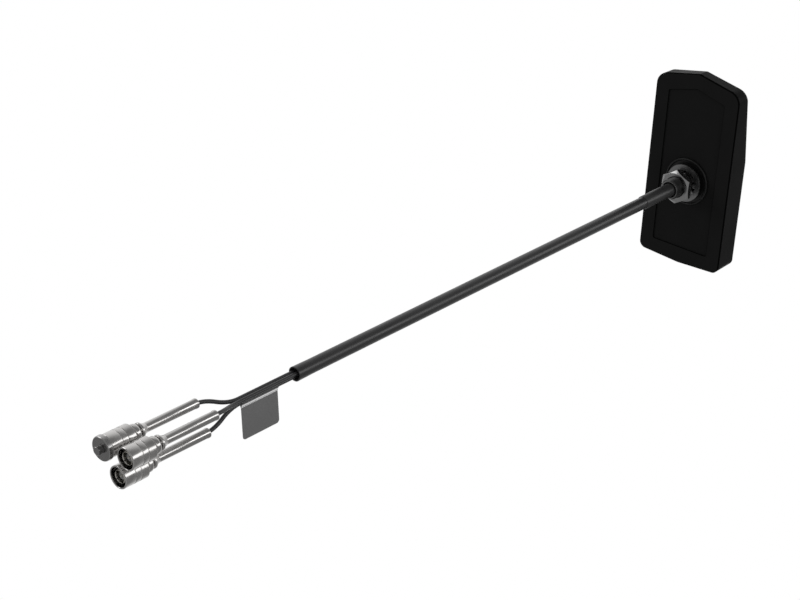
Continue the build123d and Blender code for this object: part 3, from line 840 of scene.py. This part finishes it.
# %% [markdown]
# ## One level for each kind of ray
# A Light Path node tells what kind of ray asks. Mirror-like rays and rays through glass find the room
# above, diffuse surfaces get plain even light, and the camera sees white. So the white background
# never throws more light on the object.

# %% World levels
plain_level = 0.9
camera_white = 1.0

see_through = tree.nodes.new("ShaderNodeMath")
see_through.operation = "MAXIMUM"
tree.links.new(light_path.outputs["Is Glossy Ray"], see_through.inputs[0])
tree.links.new(light_path.outputs["Is Transmission Ray"], see_through.inputs[1])
reflected = tree.nodes.new("ShaderNodeMix")
reflected.data_type = "FLOAT"
reflected.inputs["A"].default_value = plain_level
tree.links.new(see_through.outputs["Value"], reflected.inputs["Factor"])
tree.links.new(backdrop.outputs["Result"], reflected.inputs["B"])
level = tree.nodes.new("ShaderNodeMix")
level.data_type = "FLOAT"
level.inputs["B"].default_value = camera_white
tree.links.new(light_path.outputs["Is Camera Ray"], level.inputs["Factor"])
tree.links.new(reflected.outputs["Result"], level.inputs["A"])
background = tree.nodes.new("ShaderNodeBackground")
background.inputs["Color"].default_value = (1, 1, 1, 1)
tree.links.new(level.outputs["Result"], background.inputs["Strength"])
world_output = tree.nodes.new("ShaderNodeOutputWorld")
tree.links.new(background.outputs["Background"], world_output.inputs["Surface"])
print("world levels: diffuse", plain_level, "camera", camera_white)

# %% [markdown]
# ## Lamps
# A tall soft box behind the camera draws the pale streak along every plug and the cable. Two smaller
# ones light the rounded edges of the housing and the chamfers of the nut. Area lamps are used because
# their shape shows in the metal, as a studio's soft boxes do.

# %% Lamps
plug_middle = Vector((0, 0, -0.55))
streak_way = Vector((-0.688, 0.268, 0.674))
streak_distance = 2.2
streak_size = (0.72, 1.8)
edge_lamp_place = (-1.9, 1.1, -0.35)
edge_lamp_aim = (0, 0, -0.3)
edge_lamp_size = (0.8, 0.8)
nut_lamp_place = (0.91, 0.52, -1.07)
nut_lamp_size = (0.5, 0.5)
streak_power = 7.8
edge_power = 5.0
nut_power = 2.0


def soft_box(name, place, aim, size, power):
    """A rectangular lamp that faces a point."""
    data = bpy.data.lights.new(name, "AREA")
    data.shape = "RECTANGLE"
    data.size, data.size_y = size
    data.energy = power
    lamp = bpy.data.objects.new(name, data)
    bpy.context.collection.objects.link(lamp)
    lamp.location = place
    lamp.rotation_euler = (Vector(aim) - Vector(place)).to_track_quat("-Z", "Y").to_euler()


streak_place = plug_middle + streak_distance * streak_way
soft_box("streak_box", streak_place, plug_middle, streak_size, streak_power)
soft_box("edge_box", edge_lamp_place, edge_lamp_aim, edge_lamp_size, edge_power)
soft_box("nut_box", nut_lamp_place, (0, 0, 0), nut_lamp_size, nut_power)

# %% [markdown]
# ## Floor
# A plain pale floor lies well below the plugs and catches the object's soft shadow. It is a single
# large face.

# %% Floor
floor_z = -1.35
floor_half = 6.0

bm = bmesh.new()
bmesh.ops.create_grid(bm, x_segments=1, y_segments=1, size=floor_half)
bmesh.ops.translate(bm, verts=bm.verts, vec=(0, 0, floor_z))
floor = new_object("floor", bm)
print("floor at", floor_z)

# %% [markdown]
# ## Node helpers
# The shared effects and the materials use the same few kinds of node, so small functions build them: an
# empty node group, a value mapped from one range to another, and a noise on object coordinates, which
# keep a pattern in place on its piece.

# %% Node helpers
def node_group(name, inputs, outputs):
    """An empty shader node group with named number inputs and outputs."""
    group = bpy.data.node_groups.new(name, "ShaderNodeTree")
    for label, value in inputs:
        socket = group.interface.new_socket(label, in_out="INPUT", socket_type="NodeSocketFloat")
        socket.default_value = value
    for label in outputs:
        group.interface.new_socket(label, in_out="OUTPUT", socket_type="NodeSocketFloat")
    entry = group.nodes.new("NodeGroupInput")
    result = group.nodes.new("NodeGroupOutput")
    coords = group.nodes.new("ShaderNodeTexCoord")
    return group, entry, result, coords


def ranged(tree, source, low, high, from_low=0.0, from_high=1.0):
    """Maps a value from one range to another."""
    node = tree.nodes.new("ShaderNodeMapRange")
    node.inputs["From Min"].default_value = from_low
    node.inputs["From Max"].default_value = from_high
    node.inputs["To Min"].default_value = low
    node.inputs["To Max"].default_value = high
    tree.links.new(source, node.inputs["Value"])
    return node.outputs["Result"]


def noise(tree, coords, scale, detail, roughness=0.5):
    """A noise texture on object coordinates."""
    node = tree.nodes.new("ShaderNodeTexNoise")
    node.inputs["Scale"].default_value = scale
    node.inputs["Detail"].default_value = detail
    node.inputs["Roughness"].default_value = roughness
    tree.links.new(coords.outputs["Object"], node.inputs["Vector"])
    return node


print("helpers: node_group, ranged, noise")

# %% [markdown]
# ## Shared effects
# Moulded plastic has a fine even grain, turned metal has faint rings left by the tool, and everything
# that is handled gets smudges. Each effect is a node group, so that every material can use it at its
# own scale. The rings are a noise along Z only, which is the same all round a turned piece.

# %% Grain and turning marks
grain_scale = 900.0
patch_scale = 38.0
ring_scale = 600.0
smudge_scale = 160.0

grain_group, entry, result, coords = node_group("grain", [("Scale", grain_scale)], ["Height", "Patch"])
links = grain_group.links
fine = noise(grain_group, coords, grain_scale, detail=3.0, roughness=0.6)
links.new(entry.outputs["Scale"], fine.inputs["Scale"])
patch = noise(grain_group, coords, patch_scale, detail=4.0)
links.new(fine.outputs["Fac"], result.inputs["Height"])
links.new(patch.outputs["Fac"], result.inputs["Patch"])

turned_group, entry, result, coords = node_group(
    "turning_marks", [("Scale", ring_scale)], ["Height", "Smudge"],
)
links = turned_group.links
along = turned_group.nodes.new("ShaderNodeSeparateXYZ")
links.new(coords.outputs["Object"], along.inputs["Vector"])
rings = turned_group.nodes.new("ShaderNodeTexNoise")
rings.noise_dimensions = "1D"
rings.inputs["Detail"].default_value = 2.0
links.new(along.outputs["Z"], rings.inputs["W"])
links.new(entry.outputs["Scale"], rings.inputs["Scale"])
smudge = noise(turned_group, coords, smudge_scale, detail=5.0)
links.new(rings.outputs["Fac"], result.inputs["Height"])
links.new(smudge.outputs["Fac"], result.inputs["Smudge"])
print("node groups:", grain_group.name, turned_group.name)

# %% [markdown]
# ## Surfaces that are not quite even
# No real surface is quite even, so each of the object's materials mixes two close tones, lets its
# roughness stray a little and has a very shallow bump. A noise rarely leaves the middle of its range,
# and the roughness is mapped from that middle only.

# %% Material helpers
noise_reach = (0.3, 0.7)


def bare_material(name):
    """A material with only its Principled shader, and that shader."""
    material = bpy.data.materials.new(name)
    material.use_nodes = True
    return material, material.node_tree, material.node_tree.nodes["Principled BSDF"]


def varied_colour(tree, shader, source, colour, spread):
    """Feeds the base colour with two close tones mixed by a pattern."""
    mix = tree.nodes.new("ShaderNodeMix")
    mix.data_type = "RGBA"
    mix.inputs["A"].default_value = (*[c * (1 - spread) for c in colour], 1)
    mix.inputs["B"].default_value = (*[min(1, c * (1 + spread)) for c in colour], 1)
    tree.links.new(source, mix.inputs["Factor"])
    tree.links.new(mix.outputs["Result"], shader.inputs["Base Color"])


def varied_roughness(tree, shader, source, roughness, sides):
    """Feeds the roughness with a pattern that strays a little to both sides."""
    rough = ranged(tree, source, roughness - sides[0], roughness + sides[1], *noise_reach)
    tree.links.new(rough, shader.inputs["Roughness"])


def bumped(tree, shader, source, distance):
    """Feeds the normal with a bump of a given depth in metres."""
    bump = tree.nodes.new("ShaderNodeBump")
    bump.inputs["Distance"].default_value = distance
    bump.inputs["Strength"].default_value = 1.0
    tree.links.new(source, bump.inputs["Height"])
    tree.links.new(bump.outputs["Normal"], shader.inputs["Normal"])


print("helpers: bare_material, varied_colour, varied_roughness, bumped")

# %% [markdown]
# ## Plastic, rubber and metal
# One function makes a plastic or rubber from the grain group and another makes a plated metal from the
# turning marks. The colour, the roughness and the depth of the effect differ from piece to piece, so
# they are the functions' arguments.

# %% Plastic and metal
coat_roughness = 0.14
plastic_rough = (0.06, 0.06)
metal_rough = (0.04, 0.06)


def moulded(name, colour, roughness, scale=grain_scale, depth=0.00003, spread=0.12, specular=0.5, coat=0.0):
    """A moulded plastic or rubber with a fine grain, and a clear coat where one is asked for."""
    material, tree, shader = bare_material(name)
    grain = tree.nodes.new("ShaderNodeGroup")
    grain.node_tree = grain_group
    grain.inputs["Scale"].default_value = scale
    varied_colour(tree, shader, grain.outputs["Patch"], colour, spread)
    varied_roughness(tree, shader, grain.outputs["Patch"], roughness, plastic_rough)
    shader.inputs["Specular IOR Level"].default_value = specular
    shader.inputs["Coat Weight"].default_value = coat
    shader.inputs["Coat Roughness"].default_value = coat_roughness
    bumped(tree, shader, grain.outputs["Height"], depth)
    return material


def plated(name, colour, roughness, scale=ring_scale, depth=0.0000001, spread=0.08):
    """A turned and plated metal."""
    material, tree, shader = bare_material(name)
    marks = tree.nodes.new("ShaderNodeGroup")
    marks.node_tree = turned_group
    marks.inputs["Scale"].default_value = scale
    varied_colour(tree, shader, marks.outputs["Smudge"], colour, spread)
    shader.inputs["Metallic"].default_value = 1.0
    varied_roughness(tree, shader, marks.outputs["Smudge"], roughness, metal_rough)
    bumped(tree, shader, marks.outputs["Height"], depth)
    return material


print("roughness strays by", plastic_rough, metal_rough)

# %% [markdown]
# ## A colour that changes over a piece
# A tint multiplies the base colour. It reads only the piece's own coordinates or an attribute of its
# mesh, so it stays in place from every side, and it is kept when the colour is baked into an image.

# %% Tint helpers
def tinted(material, tint_of):
    """Multiplies a material's colour by a tint that changes over the piece."""
    tree = material.node_tree
    colour_in = tree.nodes["Principled BSDF"].inputs["Base Color"]
    product = tree.nodes.new("ShaderNodeVectorMath")
    product.operation = "MULTIPLY"
    tree.links.new(colour_in.links[0].from_socket, product.inputs[0])
    tree.links.new(tint_of(tree), product.inputs[1])
    tree.links.new(product.outputs["Vector"], colour_in)


def object_axis(tree, axis):
    """One of the piece's own coordinates, in metres."""
    coords = tree.nodes.new("ShaderNodeTexCoord")
    axes = tree.nodes.new("ShaderNodeSeparateXYZ")
    tree.links.new(coords.outputs["Object"], axes.inputs["Vector"])
    return axes.outputs[axis]


def grey(tone):
    """A neutral colour."""
    return (tone, tone, tone)


print("helpers: tinted, object_axis, grey")

# %% [markdown]
# ## The four tints
# The base is painted darker where its shade attribute is set, as painted shade. The turned end of the
# stud is painted brighter than its thread, as a painted highlight, and the cap's faced front and knob
# are painted darker than its side, as painted shade. The label's film is painted dark round the lead,
# as painted shade, and a pale band and a thin pale line are painted along its fold as highlights.

# %% The four tints
# Painted shade on the base's outer wall and on the pocket's wall.
rim_painted_shade_level = 0.1
# A painted highlight at the stud's end.
stud_end_painted_highlight = 3.5
stud_highlight_band = (0.25 * MM, 0.5 * MM)
# Painted shade on the cap's front and knob.
cap_face_painted_shade = 0.66
cap_shade_band = (0.1 * MM, 0.4 * MM)
# Painted shade round the lead, then painted highlights along the fold: a pale band and a thin pale line.
label_loop_painted_shade = 0.03
label_painted_highlight = 0.85
label_field = 0.115
label_fold_painted_tones = (
    (1.25 * MM, label_painted_highlight), (2.65 * MM, label_field), (3.05 * MM, label_painted_highlight), (3.55 * MM, label_field),
)


def painted_rim_shade(tree):
    """Painted shade: dark where the base's rim attribute is set."""
    rim = tree.nodes.new("ShaderNodeAttribute")
    rim.attribute_name = "rim"
    return ranged(tree, rim.outputs["Fac"], 1.0, rim_painted_shade_level)


def painted_end_tone(tree, tone, end, band):
    """Painted light at the lower end of a piece, a highlight on the stud and shade on the cap, that fades
    to plain over a band of heights.
    """
    height = object_axis(tree, "Z")
    return ranged(tree, height, tone, 1.0, end + band[0], end + band[1])


def stud_painted_highlight(tree):
    """A painted highlight: brighter at the turned end of the stud, where the thread stops."""
    return painted_end_tone(tree, stud_end_painted_highlight, stud_tip, stud_highlight_band)


def cap_painted_shade(tree):
    """Painted shade: darker on the cap's faced front and its knob than on its side."""
    return painted_end_tone(tree, cap_face_painted_shade, plug_front + cap_front, cap_shade_band)


def label_painted_light(tree):
    """Painted shade round the lead and painted highlights along the fold, over the film's own tone, from
    the lead to its free edge.
    """
    across = object_axis(tree, "Y")
    down = ranged(tree, across, 0.0, 1.0, -bundle_radius, -bundle_radius - flag_drop)
    ramp = tree.nodes.new("ShaderNodeValToRGB")
    ramp.color_ramp.interpolation = "CONSTANT"
    first, last = ramp.color_ramp.elements
    first.color = (*grey(label_loop_painted_shade), 1)
    last.color = (*grey(label_field), 1)
    for place, tone in label_fold_painted_tones:
        ramp.color_ramp.elements.new(place / flag_drop).color = (*grey(tone), 1)
    tree.links.new(down, ramp.inputs["Fac"])
    return ramp.outputs["Color"]


# The printed places are where the painted highlights along the label's fold begin and end.
print("label margin:", [(round(place / MM, 2), tone) for place, tone in label_fold_painted_tones])

# %% [markdown]
# ## Make the materials
# Each slot of the object gets its finish here: a colour and a roughness, and the depth of the grain in
# metres where it differs. Black plastics differ mostly in gloss, so their colours are close and their
# roughness and specular level tell them apart. The metals differ mostly in how bright the plate is.

# %% Make the materials
finishes = {
    "radome": moulded("radome_plastic", grey(0.0042), 0.42, specular=0.04),
    "base": moulded("base_plastic", grey(0.0175), 0.5, specular=0.0),
    "rubber": moulded("black_rubber", grey(0.007), 0.34, depth=0.000004, specular=0.35),
    "stud": plated("stud_plate", grey(0.06), 0.34),
    "nut": plated("nut_plate", grey(0.37), 0.24),
    "washer": plated("washer_plate", grey(0.29), 0.34),
    "board": moulded("solder_mask", (0.02, 0.12, 0.045), 0.3, depth=0.00001),
    "screws": plated("zinc_plate", (0.6, 0.6, 0.62), 0.3),
    "patch": moulded("patch_ceramic", (0.68, 0.62, 0.5), 0.5, depth=0.00001),
    "tin": plated("tin_plate", grey(0.7), 0.3),
    "sleeve": moulded("sleeve_plastic", (0.02, 0.02, 0.0205), 0.34, depth=0.000006),
    "jacket": moulded("jacket_plastic", (0.022, 0.022, 0.023), 0.38, depth=0.000006),
    "label": moulded(
        "label_film", grey(0.9), 0.3, scale=160.0, depth=0.000002, spread=0.1, specular=0.6, coat=1.0,
    ),
    "cap": plated("cap_plate", (0.43, 0.425, 0.42), 0.24),
    "nickel": plated("nickel_plate", (0.56, 0.55, 0.54), 0.2),
    "contact": plated("contact_plate", (0.7, 0.68, 0.63), 0.2),
    "insulator": moulded("insulator_plastic", grey(0.3), 0.45, depth=0.00001),
    "spring": plated("spring_steel", grey(0.5), 0.3),
}
painted_light_tints = {"base": painted_rim_shade, "stud": stud_painted_highlight, "cap": cap_painted_shade, "label": label_painted_light}
for slot, tint_of in painted_light_tints.items():
    tinted(finishes[slot], tint_of)
print("materials:", len(finishes), "with a tint:", len(painted_light_tints))

# %% [markdown]
# ## Give every piece its finish
# The kept CAD pieces take the finish of their slot in the record, and the new pieces that of the slot
# they were given.

# %% Give every piece its finish
for node, piece in nodes.items():
    piece.data.materials.clear()
    piece.data.materials.append(finishes[slot_of[node]])
for piece in bpy.data.objects:
    if "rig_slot" in piece and piece.name not in nodes:
        piece.data.materials.clear()
        piece.data.materials.append(finishes[piece["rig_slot"]])

# %% [markdown]
# ## Floor paint
# The floor is matt and pale. It is paler to the camera than in reflections, so that the background
# stays pale while the metal keeps its dark underside.

# %% Floor paint
floor_to_camera = 0.8
floor_in_reflections = 0.33
floor_roughness = 0.9

floor_material, tree, shader = bare_material("floor_paint")
floor_path = tree.nodes.new("ShaderNodeLightPath")
floor_colour = tree.nodes.new("ShaderNodeMix")
floor_colour.data_type = "RGBA"
floor_colour.inputs["A"].default_value = (*grey(floor_in_reflections), 1)
floor_colour.inputs["B"].default_value = (*grey(floor_to_camera), 1)
tree.links.new(floor_path.outputs["Is Camera Ray"], floor_colour.inputs["Factor"])
tree.links.new(floor_colour.outputs["Result"], shader.inputs["Base Color"])
shader.inputs["Roughness"].default_value = floor_roughness
shader.inputs["Specular IOR Level"].default_value = 0.0
floor.data.materials.append(floor_material)
print("floor tones:", floor_to_camera, floor_in_reflections)

# %% [markdown]
# ## Finish
# Last, the view layer is brought up to date.

# %% Finish
bpy.context.view_layer.update()
